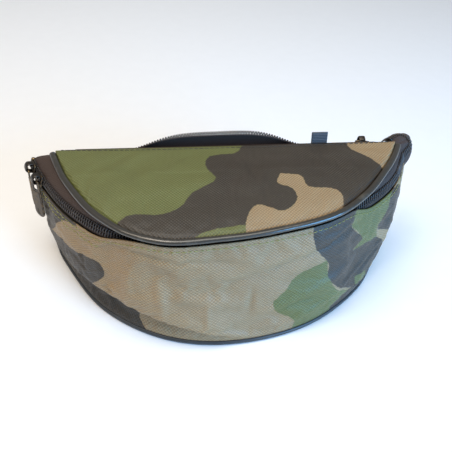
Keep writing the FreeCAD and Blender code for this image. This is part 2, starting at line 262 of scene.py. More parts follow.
def stitches(name, line, up, body, material, length=2.7, gap=1.1, radius=0.27):
    """A run of thread, as short humps that dip into the cloth between them."""
    total = np.linalg.norm(np.diff(line, axis=0), axis=1).sum()
    count = max(2, int(total / (length + gap)))
    fine = even(line, count * 8 + 1)
    tops = even(up, count * 8 + 1)
    pieces = []
    share = length / (length + gap)
    for k in range(count):
        at = (k + np.linspace(0, share, 6)) * 8
        hump = 0.42 * np.sin(np.linspace(0, math.pi, 6)) - 0.12
        run = picked(fine, at) + picked(tops, at) * hump[:, None]
        pieces.append(tube_arrays(run, oval(2 * radius, 1.7 * radius, 5)))
    v, f, c = join_arrays(pieces)
    return mesh_object(name, v, f, material, body, c)


def coil_arrays(line, across, face, side, pitch=2.06, wire=0.46):
    """One row of nylon coil: a flattened helix whose heads reach past the chain's middle."""
    total = np.linalg.norm(np.diff(line, axis=0), axis=1).sum()
    turns = int(total / pitch)
    where = np.linspace(0, 1, turns * 10)
    index = where * (len(line) - 1)
    base, ac, fa = (picked(a, index) for a in (line, across, face))
    turn = where * turns * 2 * math.pi + (math.pi if side < 0 else 0)
    path = (base + ac * (side * 1.45 + 1.72 * np.cos(turn))[:, None]
            + fa * (0.78 * np.sin(turn))[:, None])
    return tube_arrays(path, oval(2 * wire, 2 * wire, 5))


# ---------------------------------------------------------------- materials

def colour(r, g, b, gain=1.0):
    """A linear colour from everyday 0-255 values."""
    lin = [c / 255 / 12.92 if c <= 10 else ((c / 255 + 0.055) / 1.055) ** 2.4 for c in (r, g, b)]
    return tuple(min(1.0, c * gain) for c in lin) + (1.0,)


class Net:
    """A short way to write a material's nodes."""

    def __init__(self, name, roughness=0.6, metallic=0.0, **fixed):
        self.mat = bpy.data.materials.new(name)
        self.mat.use_nodes = True
        self.tree = self.mat.node_tree
        self.shader = self.tree.nodes["Principled BSDF"]
        self.shader.inputs["Roughness"].default_value = roughness
        self.shader.inputs["Metallic"].default_value = metallic
        for key, value in fixed.items():
            self.shader.inputs[key.replace("_", " ")].default_value = value

    def node(self, kind, links=None, **settings):
        made = self.tree.nodes.new(kind)
        for key, value in settings.items():
            setattr(made, key, value)
        for key, value in (links or {}).items():
            socket = made.inputs[key]
            if isinstance(value, bpy.types.NodeSocket):
                self.tree.links.new(value, socket)
            elif socket.type == "VECTOR" and len(value) == 4:
                socket.default_value = value[:3]
            else:
                socket.default_value = value
        return made

    def attribute(self, name):
        return self.node("ShaderNodeAttribute", attribute_name=name).outputs["Vector"]

    def where(self):
        return self.node("ShaderNodeTexCoord").outputs["Object"]

    def split(self, vector):
        return self.node("ShaderNodeSeparateXYZ", {0: vector}).outputs

    def math(self, operation, a, b=0.0, c=0.0):
        return self.node("ShaderNodeMath", {0: a, 1: b, 2: c}, operation=operation).outputs[0]

    def noise(self, vector, scale, detail=3.0, rough=0.55):
        return self.node("ShaderNodeTexNoise", {"Vector": vector, "Scale": scale, "Detail": detail,
                                                "Roughness": rough}).outputs["Fac"]

    def spread(self, value, low, high, out_low=0.0, out_high=1.0):
        return self.node("ShaderNodeMapRange",
                         {"Value": value, "From Min": low, "From Max": high, "To Min": out_low,
                          "To Max": out_high}).outputs["Result"]

    def mix(self, share, a, b, blend="MIX"):
        made = self.node("ShaderNodeMix", data_type="RGBA", blend_type=blend)
        for socket, value in ((made.inputs[0], share), (made.inputs[6], a), (made.inputs[7], b)):
            if isinstance(value, bpy.types.NodeSocket):
                self.tree.links.new(value, socket)
            else:
                socket.default_value = value
        return made.outputs[2]

    def shade(self, base, amount):
        """The colour made lighter or darker by a number near one."""
        return self.node("ShaderNodeVectorMath", {0: base, 3: amount}, operation="SCALE").outputs[0]

    def finish(self, base, height=None, depth=0.0002, roughness=None):
        self.tree.links.new(base, self.shader.inputs["Base Color"])
        if roughness is not None:
            self.tree.links.new(roughness, self.shader.inputs["Roughness"])
        if height is not None:
            bump = self.node("ShaderNodeBump", {"Height": height, "Distance": depth,
                                                "Strength": 1.0})
            self.tree.links.new(bump.outputs[0], self.shader.inputs["Normal"])
        return self.mat

    def weave(self, vector, pitch):
        """A plain weave: threads that pass over and under each other."""
        x, y, _ = self.split(vector)
        a = self.math("SINE", self.math("MULTIPLY", x, math.pi / pitch))
        b = self.math("SINE", self.math("MULTIPLY", y, math.pi / pitch))
        return self.math("MULTIPLY_ADD", self.math("MULTIPLY", a, b), 0.5, 0.5)

    def ribs(self, axis_value, pitch):
        s = self.math("SINE", self.math("MULTIPLY", axis_value, 2 * math.pi / pitch))
        return self.math("MULTIPLY_ADD", s, 0.5, 0.5)


GREEN, DARK, TAN = colour(97, 100, 50), colour(52, 43, 31), colour(150, 126, 92)


def camo_canvas():
    """Coated canvas printed with woodland patches. Each patch's own edge is in the mesh."""
    net = Net("camo_canvas", 0.5, Coat_Weight=0.28, Coat_Roughness=0.4, Coat_IOR=1.5)
    cloth = net.attribute("cloth")
    print_ = net.split(net.attribute("camo"))
    ragged = net.spread(net.noise(cloth, 0.5, 3.0), 0.3, 0.7, -0.35, 0.35)
    base = TAN
    for index, ink in ((0, GREEN), (1, DARK)):
        edge = net.math("ADD", print_[index], ragged)
        base = net.mix(net.spread(edge, -0.25, 0.25), base, ink)
    weave = net.weave(cloth, 1.15)
    speck = net.noise(cloth, 1.6, 2.0)
    cloud = net.noise(cloth, 0.035, 4.0)
    shade = net.math("MULTIPLY", net.spread(weave, 0, 1, 0.70, 1.24),
                     net.spread(speck, 0.3, 0.7, 0.80, 1.18))
    shade = net.math("MULTIPLY", shade, net.spread(cloud, 0.3, 0.7, 0.93, 1.07))
    worn = net.math("MULTIPLY", net.spread(net.noise(cloth, 0.9, 5.0, 0.7), 0.58, 0.74), 0.2)
    base = net.mix(worn, net.shade(base, shade), colour(176, 166, 142))
    height = net.math("ADD", weave, net.math("MULTIPLY", speck, 0.5))
    rough = net.spread(weave, 0, 1, 0.62, 0.48)
    return net.finish(base, height, 0.00035, rough)


def woven(name, ink, pitch, rough, depth=0.00015, fleck=None, **fixed):
    net = Net(name, rough, **fixed)
    cloth = net.attribute("cloth")
    weave = net.weave(cloth, pitch)
    speck = net.noise(cloth, 1.2, 3.0)
    shade = net.math("MULTIPLY", net.spread(weave, 0, 1, 0.8, 1.15),
                     net.spread(speck, 0.3, 0.7, 0.85, 1.15))
    base = net.shade(ink, shade)
    if fleck:
        base = net.mix(net.spread(net.noise(cloth, 0.2, 4.0), 0.55, 0.75, 0, 0.6), base, fleck)
    return net.finish(base, weave, depth)


def ribbed(name, ink, pitch, rough, along=0, depth=0.0003):
    net = Net(name, rough)
    cloth = net.attribute("cloth")
    parts = net.split(cloth)
    rib = net.ribs(parts[along], pitch)
    cross = net.ribs(parts[1 - along], pitch * 0.6)
    height = net.math("ADD", rib, net.math("MULTIPLY", cross, 0.35))
    shade = net.math("MULTIPLY", net.spread(rib, 0, 1, 0.72, 1.15),
                     net.spread(net.noise(cloth, 0.8, 3.0), 0.3, 0.7, 0.85, 1.15))
    return net.finish(net.shade(ink, shade), height, depth)


def moulded(name, ink, scuff_and_highlight, rough, scale=900.0, **fixed):
    """Plastic with a fine grain and a few lighter patches, in object space: rubbed places, and on the front
    coil a painted highlight.
    """
    net = Net(name, rough, **fixed)
    at = net.where()
    grain = net.noise(at, scale, 3.0)
    rub_and_highlight = net.spread(net.noise(at, scale / 9, 5.0), 0.55, 0.72)
    grained = net.shade(ink, net.spread(grain, 0.3, 0.7, 0.85, 1.12))
    # Lighter patches: rubbed places, and on the front coil a painted highlight.
    base = net.mix(net.math("MULTIPLY", rub_and_highlight, 0.6), grained, scuff_and_highlight)
    return net.finish(base, grain, 0.00006, net.spread(rub_and_highlight, 0, 1, rough, min(1, rough + 0.18)))


def worn_metal():
    """Dark plated zinc, rubbed to brass on its edges."""
    net = Net("worn_metal", 0.34, 0.9)
    at = net.where()
    edge = net.spread(net.node("ShaderNodeNewGeometry").outputs["Pointiness"], 0.51, 0.58)
    wear = net.spread(net.noise(at, 420, 5.0, 0.7), 0.42, 0.66)
    share = net.math("MINIMUM", net.math("ADD", net.math("MULTIPLY", edge, wear),
                                         net.math("MULTIPLY", net.spread(wear, 0.8, 1), 0.08)), 1.0)
    grain = net.noise(at, 2600, 3.0)
    plate = net.shade(colour(74, 68, 63), net.spread(grain, 0.3, 0.7, 0.8, 1.2))
    base = net.mix(share, plate, colour(170, 142, 98))
    return net.finish(base, grain, 0.00003, net.spread(wear, 0, 1, 0.30, 0.46))


CANVAS = camo_canvas()
LINING = woven("lining_nylon", colour(58, 60, 50), 0.5, 0.5, 0.00008)
TAPE = woven("zip_tape", colour(64, 50, 44), 0.9, 0.7, 0.0003)
REAR_COIL = moulded("zip_coil_rear", colour(30, 27, 25), colour(48, 43, 40), 0.6)
# The front coil's second, lighter colour is a painted highlight, laid on in random patches.
COIL = moulded("zip_coil_nylon", colour(60, 53, 50), colour(98, 90, 86), 0.34)
PIPING = moulded("coated_piping", colour(50, 46, 39), colour(84, 80, 70), 0.32, 700.0,
                 Coat_Weight=0.6, Coat_Roughness=0.16)
EDGING = moulded("base_piping", colour(50, 52, 54), colour(84, 86, 88), 0.42, 700.0)
BINDING = ribbed("binding_tape", colour(40, 40, 40), 0.9, 0.8)
WEBBING = ribbed("webbing", colour(78, 82, 88), 1.3, 0.75, along=0)
FOAM = moulded("foam", colour(206, 200, 180), colour(170, 160, 130), 0.95, 500.0)
BOARD = moulded("stiffener_board", colour(70, 72, 72), colour(100, 100, 98), 0.6, 400.0)
METAL = worn_metal()
THREAD = moulded("thread", colour(150, 148, 88), colour(120, 116, 66), 0.6, 1500.0)
DARK_THREAD = moulded("dark_thread", colour(66, 60, 52), colour(90, 84, 74), 0.6, 1500.0)

# ---------------------------------------------------------------- camera, light and floor

def aim(azimuth, elevation, distance, target, roll):
    a, e, r = (math.radians(x) for x in (azimuth, elevation, roll))
    back = Vector((math.sin(a) * math.cos(e), -math.cos(a) * math.cos(e), math.sin(e)))
    right = Vector((math.cos(a), math.sin(a), 0))
    up = back.cross(right)
    turned = right * math.cos(r) + up * math.sin(r)
    over = up * math.cos(r) - right * math.sin(r)
    m = Matrix((turned, over, back)).transposed().to_4x4()
    m.translation = (Vector(target) + back * distance) * 0.001
    return m


# The focal length and the picture's width are both in pixels, the sensor's width in millimetres.
FOCAL, PICTURE, SENSOR = 547, 452, 36
cam = bpy.data.objects.new("camera", bpy.data.cameras.new("camera"))
bpy.context.scene.collection.objects.link(cam)
cam.data.sensor_width = SENSOR
cam.data.lens = FOCAL * SENSOR / PICTURE
cam.data.clip_start = 0.01
cam.matrix_world = aim(-8.1, 42.0, 388.4, (-2.8, 0, 64.2), 6.0)
bpy.context.scene.camera = cam


def area_light(name, azimuth, elevation, distance, width, power, tint):
    data = bpy.data.lights.new(name, "AREA")
    data.size = width
    data.energy = power
    data.color = tint
    ob = bpy.data.objects.new(name, data)
    bpy.context.scene.collection.objects.link(ob)
    ob.matrix_world = aim(azimuth, elevation, distance * 1000, (0, 0, 40), 0)


area_light("warm_key", -70, 66, 1.1, 0.5, 5.5, (1.0, 0.86, 0.70))
area_light("window", 48, 18, 1.1, 0.6, 17.0, (0.19, 0.53, 1.0))
area_light("overhead", -10, 84, 1.2, 0.8, 7.0, (1.0, 0.98, 0.92))
world = bpy.data.worlds.new("studio")
world.use_nodes = True
world.node_tree.nodes["Background"].inputs["Color"].default_value = (0.95, 0.97, 1.0, 1)
world.node_tree.nodes["Background"].inputs["Strength"].default_value = 0.33
bpy.context.scene.world = world
bpy.context.scene.view_settings.view_transform = "Standard"

floor_net = Net("floor_paper", 0.85)
floor_grain = floor_net.noise(floor_net.where(), 60.0, 4.0)
floor_tint = floor_net.shade((0.93, 0.93, 0.93, 1), floor_net.spread(floor_grain, 0.3, 0.7, 0.985, 1.0))
floor_mat = floor_net.finish(floor_tint)
bpy.ops.mesh.primitive_plane_add(size=6, location=(0, 0, -0.0002))
floor = bpy.context.object
floor.name = "floor"
floor.data.materials.append(floor_mat)

# ---------------------------------------------------------------- the front zip

EDGE = curve(LID_EDGE, 241)
# Degrees round the zip's circle: the left end, both ends of the lid's row, and the curl's start.
LEFT, LID_FROM, LID_TO, CURL_FROM = -67.6, -57.0, 60.2, 60.5
# From the chain's middle to the tape that shows beside the coil, and the tape's thickness.
TAPE_SIDE, TAPE_THICK = 2.7, 0.6


def edge_at(angles, distance, height):
    """Points of the lid's moved edge, in the directions of angles round the zip's circle."""
    line = outset(EDGE, distance)[:, :2] - np.array([RIGHT, BACK])
    seen = np.degrees(np.arctan2(line[:, 0], -line[:, 1]))
    points = np.stack([np.interp(angles, seen, line[:, 0]) + RIGHT,
                       np.interp(angles, seen, line[:, 1]) + BACK], -1)
    return flat(points, height)


# How far the soft chain wanders outside the circle that its sliders run on, by angle.
STRAYS = np.array([(-68, 0), (-61, 0), (-55, 0.3), (-49, 1.2), (-44, 1.9), (-40, 2.4), (-36, 3.0),
                   (-32, 3.6), (-27, 3.4), (-18, 2.2), (-6, 0), (6, -2.5), (16, -5), (25, -6.4),
                   (33, -6.2), (39, -4.4), (43, -2.6), (47, -1.2), (52, 0.5), (57, 0.8), (60.5, 0),
                   (66, 0), (68, 1.0)]).T


def chain(angles):
    """Line, across and face of the front chain in the world, at angles round its circle."""
    angles = np.asarray(angles, float)
    strays = np.interp(angles, *STRAYS)
    line = from_top(ring(angles, strays))
    a = np.radians(angles)
    outward = np.stack([np.sin(a), -np.cos(a), np.zeros_like(a)], 1) @ TOP_R.T
    up = TOP_R[:, 2][None]
    across = outward * math.cos(ROLL) - up * math.sin(ROLL)
    face = outward * math.sin(ROLL) + up * math.cos(ROLL)
    return line, across, face


# Past the circle's right end the zip curls back over the corner behind the lid.
CURL = from_top([(140.3, 5.6, -11.4), (142.6, 9.6, -9.0), (140.4, 13.4, -6.0), (135.0, 14.4, -4.2),
                 (129.6, 12.6, -3.8), (125.2, 9.4, -4.0)])
CURL_ROWS = 90
arc = chain(np.linspace(CURL_FROM, 66.0, 12))
curl_line = curve(np.vstack([arc[0], CURL]), CURL_ROWS, 12)
curl_face = np.vstack([arc[2], from_top([(0.9, 0.1, 0.5), (0.8, 0.4, 0.6), (0.45, 0.7, 0.7),
                                         (0.1, 0.75, 0.75), (-0.2, 0.7, 0.8), (-0.4, 0.6, 0.8)])
                       - TOP_O])
curl_face = picked(curl_face, np.linspace(0, len(curl_face) - 1, CURL_ROWS))
curl_t = tangents(curl_line)
curl_face -= curl_t * (curl_face * curl_t).sum(1)[:, None]
curl_face /= np.linalg.norm(curl_face, axis=1)[:, None]
curl_across = np.cross(curl_face, curl_t)
if (curl_across[0] * arc[1][0]).sum() < 0:
    curl_across = -curl_across
curl = (curl_line, curl_across, curl_face)


def coil_object(name, lines, side, body, node, material=COIL):
    v, f, c = coil_arrays(*lines, side)
    return stand_in(mesh_object(name, v, f, material, body, c), node)


coil_object("front_coil_body", chain(np.linspace(LEFT, CURL_FROM, 260)), 1, "bag", "body_zip_coil")
coil_object("front_coil_body_curl", curl, 1, "bag", "body_zip_coil")
coil_object("front_coil_lid", chain(np.linspace(LID_FROM, LID_TO, 240)), -1, "lid", "lid_zip_coil")
coil_object("front_coil_end_left", chain(np.linspace(LEFT, -57.3, 30)), -1, "bag", "zip_end_left")
coil_object("front_coil_end_right", curl, -1, "bag", "zip_end_right")


def tape_object(name, grid, body, *nodes):
    return stand_in(sheet_object(name, grid, TAPE, body, TAPE_THICK), *nodes)


def tape_grid(lines, far, start, belly, cols=7):
    """A tape from under a row of coil to its seam. Start is negative on the lid's side."""
    under = lines[0] + lines[1] * (start * 0.1) - lines[2] * 1.35
    near = lines[0] + lines[1] * start - lines[2] * 1.1
    turn = lines[0] + lines[1] * (start * 1.9)
    s = np.linspace(0, 1, cols)[None, :, None]
    shown = bent(near[:, None], (turn + lines[2] * belly)[:, None], far[:, None], s)
    return np.concatenate([under[:, None], (under * 0.5 + near * 0.5)[:, None], shown], 1)


a_lid = np.linspace(-57.3, 60.4, 200)
lid_tape = tape_grid(chain(a_lid), from_top(edge_at(a_lid, -0.4, -3.0)), -TAPE_SIDE, 0.8)
tape_object("front_tape_lid", lid_tape, "lid", "lid_zip_tape")
a_body = np.linspace(LEFT, CURL_FROM, 200)
foot = from_top(ring(a_body, np.interp(a_body, *STRAYS) - 1.4, -10.5))
body_tape = tape_grid(chain(a_body), foot, TAPE_SIDE, 0.0)
tape_object("front_tape_body", body_tape, "bag", "body_zip_tape")
foot_curl = curl_line + curl_across * 9.5 - curl_face * 0.5
tape_object("front_tape_body_curl", tape_grid(curl, foot_curl, TAPE_SIDE, 0.0), "bag")

# The zip's loose ends run between the sliders and the lid's corners.
a_left = np.linspace(LEFT - 0.6, LID_FROM, 26)
far = edge_at(np.linspace(-62.6, LID_FROM, 26), -0.4, -3.0)
far[:9] = curve([(-121, 5.5, -7), (-123.5, 3.0, -5.2), (-124.6, 0.2, -3.4), tuple(far[9])], 10)[:9]
left_grid = tape_grid(chain(a_left), from_top(far), -TAPE_SIDE, 0.8)
gusset_left = tape_object("zip_gusset_left", left_grid, None)
near_curl = np.linspace(0, CURL_ROWS - 1, 40).astype(int)
far = edge_at(np.linspace(LID_TO, 64.0, 40), -0.4, -3.0)
far[6:] = curve([tuple(far[6]), (124.6, -0.5, -3.0), (124.9, 2.5, -3.2), (124.2, 4.8, -3.8),
                 (122.4, 6.6, -5.0)], 34)
right_grid = tape_grid(tuple(k[near_curl] for k in curl), from_top(far), -TAPE_SIDE, 0.3)
gusset_right = tape_object("zip_gusset_right", right_grid, None)
for gusset, x in ((gusset_left, -125), (gusset_right, 125)):
    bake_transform(gusset)


def stop_arrays(place, across, face, along):
    """A crimped stop: a bent band of metal round the end of the chain."""
    line = np.stack([place + along * s for s in (-1.3, -1.05, 0, 1.05, 1.3)])
    return tube_arrays(line, oval(6.4, 3.4, 16, 0.7), np.tile(across, (5, 1)), np.tile(face, (5, 1)),
                       np.array([0.82, 0.98, 1.03, 0.98, 0.82]))


def stops_object(name, stops, node):
    v, f, c = join_arrays(stops)
    stand_in(mesh_object(name, v, f, METAL, "bag", c), node)


place, across, face = (k[0] for k in chain([LEFT - 0.75]))
stops_object("front_zip_end_stops", [
    stop_arrays(place, across, face, np.cross(across, face)),
    stop_arrays(curl_line[-1] + curl_t[-1] * 1.5, curl_across[-1], curl_face[-1], curl_t[-1])],
    "front_zip_stops")

# ---------------------------------------------------------------- camouflage print

def inside_distance(points, outline):
    """How far each 2-D point is inside a closed smooth outline. Outside counts as negative."""
    ring_ = curve([*outline, outline[0]], len(outline) * 7)
    a, b = ring_[:-1], ring_[1:]
    d = np.full(len(points), 1e9)
    crossings = np.zeros(len(points), int)
    for p, q in zip(a, b):
        pq = q - p
        t = np.clip(((points - p) @ pq) / max(pq @ pq, 1e-9), 0, 1)
        d = np.minimum(d, np.linalg.norm(points - p - t[:, None] * pq, axis=1))
        spans = (p[1] > points[:, 1]) != (q[1] > points[:, 1])
        if spans.any():
            x = p[0] + (points[:, 1] - p[1]) / (pq[1] if pq[1] else 1e-9) * pq[0]
            crossings += (spans & (points[:, 0] < x)).astype(int)
    return np.where(crossings % 2 == 1, d, -d)


def cloth_points(ob):
    cloth = np.empty(len(ob.data.vertices) * 3, np.float32)
    ob.data.attributes["cloth"].data.foreach_get("vector", cloth)
    return cloth.reshape(-1, 3).astype(float)


def store_print(ob, green, dark):
    layer = ob.data.attributes.new("camo", "FLOAT_VECTOR", "POINT")
    layer.data.foreach_set("vector", np.stack([green, dark, 0 * dark], 1).astype(np.float32).ravel())


def paint(ob, patches):
    """Stores each ink's distance to its nearest edge, positive inside. Later patches lie on top."""
    points = cloth_points(ob)[:, :2]
    field = {"green": np.full(len(points), -50.0), "dark": np.full(len(points), -50.0)}
    for ink, outline in patches:
        d = inside_distance(points, outline)
        if ink == "green":
            field["green"] = np.maximum(field["green"], np.where(field["dark"] > 0, d + 1.2, d))
        elif ink == "dark":
            field["dark"] = np.maximum(field["dark"], d)
        else:
            field["green"] = np.minimum(field["green"], -d)
        if ink != "dark":
            field["dark"] = np.minimum(field["dark"], -d)
    store_print(ob, field["green"], field["dark"])


def paint_random(ob, seed, size=46.0):
    """Patches from smooth noise, for the sides that the photo doesn't show."""
    stretch = cloth_points(ob) * np.array([1.0, 1.5, 1.0])
    green = wander(stretch, 1 / size, seed, 2) * size * 0.55 - 2.0
    dark = wander(stretch, 1 / size, seed + 3.1, 2) * size * 0.55 - 3.0
    store_print(ob, np.minimum(green, -dark), dark)


# ---------------------------------------------------------------- cloth

def finer(P):
    """Twice as many cells each way, along smooth lines."""
    for _ in range(2):
        q = np.concatenate([2 * P[:1] - P[1:2], P, 2 * P[-1:] - P[-2:-1]])
        middle = (-q[:-3] + 9 * q[1:-2] + 9 * q[2:-1] - q[3:]) / 16
        out = np.empty((2 * len(P) - 1,) + P.shape[1:])
        out[::2], out[1::2] = P, middle
        P = out.swapaxes(0, 1)
    return P


def settle(P, pins, slack=0.02, pressure=0.0, gravity=1.0, cap=6.0, frames=22, bend=0.4):
    """Hangs a grid as cloth, held where pins is one, and returns where it comes to rest."""
    rows, cols = P.shape[:2]
    me = bpy.data.meshes.new("settling")
    me.from_pydata((P.reshape(-1, 3) * 0.001).tolist(), [], grid_faces(rows, cols))
    ob = bpy.data.objects.new("settling", me)
    bpy.context.scene.collection.objects.link(ob)
    group = ob.vertex_groups.new(name="pins")
    for index, weight in enumerate(pins.ravel()):
        if weight > 0:
            group.add([index], float(weight), "REPLACE")
    cloth = ob.modifiers.new("cloth", "CLOTH")
    facts = cloth.settings
    facts.quality = 8
    facts.mass = 0.0006
    facts.tension_stiffness = facts.compression_stiffness = 12
    facts.shear_stiffness = 4
    facts.bending_stiffness = bend
    facts.air_damping = 2.0
    facts.vertex_group_mass = "pins"
    facts.shrink_min = facts.shrink_max = -slack
    facts.use_pressure = pressure > 0
    facts.uniform_pressure_force = pressure
    facts.effector_weights.gravity = gravity
    cloth.collision_settings.use_collision = False
    scene = bpy.context.scene
    for number in range(1, frames + 1):
        scene.frame_set(number)
    done = ob.evaluated_get(bpy.context.evaluated_depsgraph_get())
    Q = np.empty(rows * cols * 3)
    done.data.vertices.foreach_get("co", Q)
    Q = Q.reshape(P.shape) * 1000
    scene.frame_set(1)
    bpy.data.objects.remove(ob)
    move = Q - P
    far = np.linalg.norm(move, axis=2, keepdims=True)
    return P + move * np.minimum(1, cap / np.maximum(far, 1e-6))


def normals(P):
    n = np.cross(np.gradient(P, axis=0), np.gradient(P, axis=1))
    return n / np.maximum(np.linalg.norm(n, axis=2, keepdims=True), 1e-9)


def held(rows, cols, sides="lrtb", soft=2):
    """Pins along the edges of a grid: left and right rows, base and top columns."""
    pins = np.zeros((rows, cols))
    for k in range(soft):
        edges = {"l": pins[k], "r": pins[-1 - k], "b": pins[:, k], "t": pins[:, -1 - k]}
        for letter in sides:
            edges[letter][:] = np.maximum(edges[letter], 1 - k / soft)
    return pins


def ridges(u, v, lines):
    """Soft folds. Each is (u0, v0, u1, v1, width, height), in shares of the cloth's size."""
    total = np.zeros(np.broadcast(u, v).shape)
    for u0, v0, u1, v1, width, height in lines:
        ax, ay = (u - u0) * 3.2, v - v0
        dx, dy = (u1 - u0) * 3.2, v1 - v0
        length = math.hypot(dx, dy)
        t = (ax * dx + ay * dy) / length ** 2
        side = (ax * dy - ay * dx) / length
        ends = step(-0.15, 0.2, t) * (1 - step(0.8, 1.15, t))
        total += height * np.exp(-(side / width) ** 2) * ends
    return total


# ---------------------------------------------------------------- front wall

NU, NV = 121, 37


def wall_top(count):
    """The wall's top edge: beside the chain at its ends, right up under the piping between."""
    angle = np.linspace(LEFT + 0.3, 67.6, count)
    share = (step(-36, -20, angle) * (1 - step(31, 43, angle)))[:, None]
    line = (ring(angle, 2.0 + np.interp(angle, *STRAYS), -6.5) * (1 - share)
            + edge_at(np.clip(angle, -60, 60), 3.6, -5.0) * share)
    for _ in range(3):
        line[1:-1] = (line[:-2] + line[1:-1] * 2 + line[2:]) / 4
    return from_top(line)


def wall_grid(inset=0.0, low_z=4.2, drop=0.0):
    """Rows run from the left end to the right, columns from the base up to the hem."""
    top = wall_top(NU)
    low = flat(outset(curve(BASE_EDGE, NU), 0.4), low_z)
    u = np.linspace(0, 1, NU)[:, None]
    v = np.linspace(0, 1, NV)[None, :]
    knee = step(0.04, 0.32, u) * 0.75
    lean = step(0, 0.66, v) * knee + v * (1 - knee)
    share = np.stack([lean, lean, v + 0 * u], -1)
    P = low[:, None] * (1 - share) + (top - [0, 0, drop])[:, None] * share
    t = tangents(low[:, :2] * 0.5 + top[:, :2] * 0.5)
    out = np.column_stack([t[:, 1], -t[:, 0], np.zeros(NU)])
    # The wall's left half sags over its own foot in one long fold.
    at = [0, 0.06, 0.14, 0.20, 0.26, 0.32, 0.38, 0.46, 0.54, 1]
    crest = np.interp(u, at, [0.47, 0.44, 0.40, 0.39, 0.37, 0.33, 0.27, 0.15, 0.06, 0.0])
    sag = np.interp(u, at, [0, 0.5, 2.0, 4.0, 5.5, 6.5, 6.5, 4.5, 0, 0])
    tuck = np.interp(u, at, [0, 1.0, 3.5, 5.0, 6.0, 6.0, 5.5, 2.5, 0, 0])
    over = step(crest - 0.07, crest + 0.005, v)
    push = (sag * over * np.exp(-((v - crest) / 0.36) ** 2)
            - tuck * (1 - over) * step(0, 0.10, v))
    push += np.sin(math.pi * v) * (1.0 + 4.0 * step(0.50, 0.82, u) * (1 - 0.25 * step(0.88, 0.97, u)))
    push += ridges(u, v, [(0.55, 0.25, 0.80, 0.55, 0.05, 1.4), (0.50, 0.62, 0.76, 0.86, 0.05, -1.0),
                          (0.62, 0.12, 0.86, 0.42, 0.04, 1.3), (0.30, 0.90, 0.52, 0.80, 0.04, -1.1),
                          (0.34, 0.60, 0.56, 0.30, 0.07, 1.2), (0.10, 0.80, 0.26, 0.60, 0.05, 0.8)])
    return P + out[:, None] * (push * (1 if inset == 0 else 0.6) - inset)[..., None]


start_wall = wall_grid()
wall = finer(settle(start_wall, held(NU, NV), slack=0.014, pressure=0.15, cap=2.6))
WIDE, TALL = 322.0, 92.0
wall_cloth = np.stack([*np.meshgrid(np.linspace(0, WIDE, wall.shape[0]),
                                    np.linspace(0, TALL, wall.shape[1]), indexing="ij"),
                       np.zeros(wall.shape[:2])], -1)
ends_free = np.sin(math.pi * np.linspace(0, 1, wall.shape[1])) ** 0.5
pucker = wander(wall_cloth * [1, 2.2, 1], 0.045, 2.0) * 0.55 * ends_free
wall = wall + normals(wall) * pucker[..., None]
front = sheet_object("front_wall", wall, CANVAS, "bag", 1.0, wall_cloth)
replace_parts(front, "front_panel")

inner = wall_grid(3.4, 5.8, 4.0)
inner_cloth = cloth_lengths(inner)
inner = inner + normals(inner) * (wander(inner_cloth, 0.03, 5.0) * 0.6)[..., None]
lining = sheet_object("front_wall_lining", inner, LINING, "bag", 0.5, inner_cloth)
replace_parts(lining, "front_lining")

# ---------------------------------------------------------------- lid

LID_ROWS, LID_COLS = 141, 41


def half_moon(edge, back, cols):
    """A grid over a half-moon: rows follow the curved edge, columns run from the straight back."""
    b = np.linspace(0, 1, cols)[None, :, None]
    behind = np.column_stack([edge[:, 0], np.full(len(edge), float(back))])
    plan = behind[:, None] * (1 - b) + edge[:, None, :2] * b
    return np.dstack([plan, np.zeros(plan.shape[:2])])


lid_plan = half_moon(outset(curve(LID_EDGE, LID_ROWS), -0.2), -0.5, LID_COLS)
start = lid_plan.copy()
start[..., 2] = (0.8 * np.sin(math.pi * np.linspace(0, 1, LID_COLS))[None]
                 * step(0, 30, -lid_plan[..., 1]))
lid_pins = held(LID_ROWS, LID_COLS)
lid_flat = finer(settle(start, lid_pins, slack=0.002, pressure=0.35, gravity=0.0, cap=2.0))
lid_cloth = finer(lid_plan)
across_lid = np.linspace(0, 1, lid_flat.shape[1])[None]
lid_flat[..., 2] -= 1.3 * step(0.968, 1.0, across_lid) + 1.2 * step(0.80, 1.0, across_lid) ** 1.5
lid_flat[..., 2] += wander(lid_cloth, 0.03, 9.0) * 0.5 * np.sin(math.pi * across_lid)
lid_flat[..., 2] += 0.28 * bell(across_lid, 0.93, 0.03) * np.sin(lid_cloth[..., 0] * 0.35)
lid_flat[..., 2] += 0.35
lid_top = sheet_object("lid_top", from_top(lid_flat), CANVAS, "lid", 0.8, lid_cloth)
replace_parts(lid_top, "lid_panel")

lumps = 1 + wander(np.column_stack([EDGE, np.zeros(len(EDGE))]), 0.06, 4.0) * 0.06
piping = tube_object("lid_edge_piping", from_top(flat(outset(EDGE, 2.5), -1.3)), oval(4.7, 3.9, 16),
                     PIPING, "lid", "piping", scale=lumps)
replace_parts(piping, "lid_piping")
flange = np.stack([from_top(flat(outset(EDGE, d), z)) for d, z in
                   ((-2.6, -1.6), (-1.2, -1.9), (0.2, -2.4), (1.2, -2.9))], 1)
sheet_object("lid_edge_flange", flange, PIPING, "lid", 0.5)

lid_under = half_moon(outset(curve(LID_EDGE, 101), -2.5), -3.0, 31)
under_cloth = lid_under.copy()
lid_under[..., 2] = -1.75 - 0.5 * np.sin(math.pi * np.linspace(0, 1, 31))[None] ** 2
lid_under[..., 2] += wander(under_cloth, 0.04, 12.0) * 0.25
under = sheet_object("lid_underside", from_top(lid_under), LINING, "lid", 0.4, under_cloth)
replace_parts(under, "lid_lining")
tape_line = from_top(flat(outset(EDGE, -5.2), -3.9)[12:-12])
binding = tube_object("lid_seam_binding", tape_line, oval(1.4, 3.2, 12, 0.6), BINDING, "lid", "binding")
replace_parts(binding, "lid_binding")

# ---------------------------------------------------------------- base

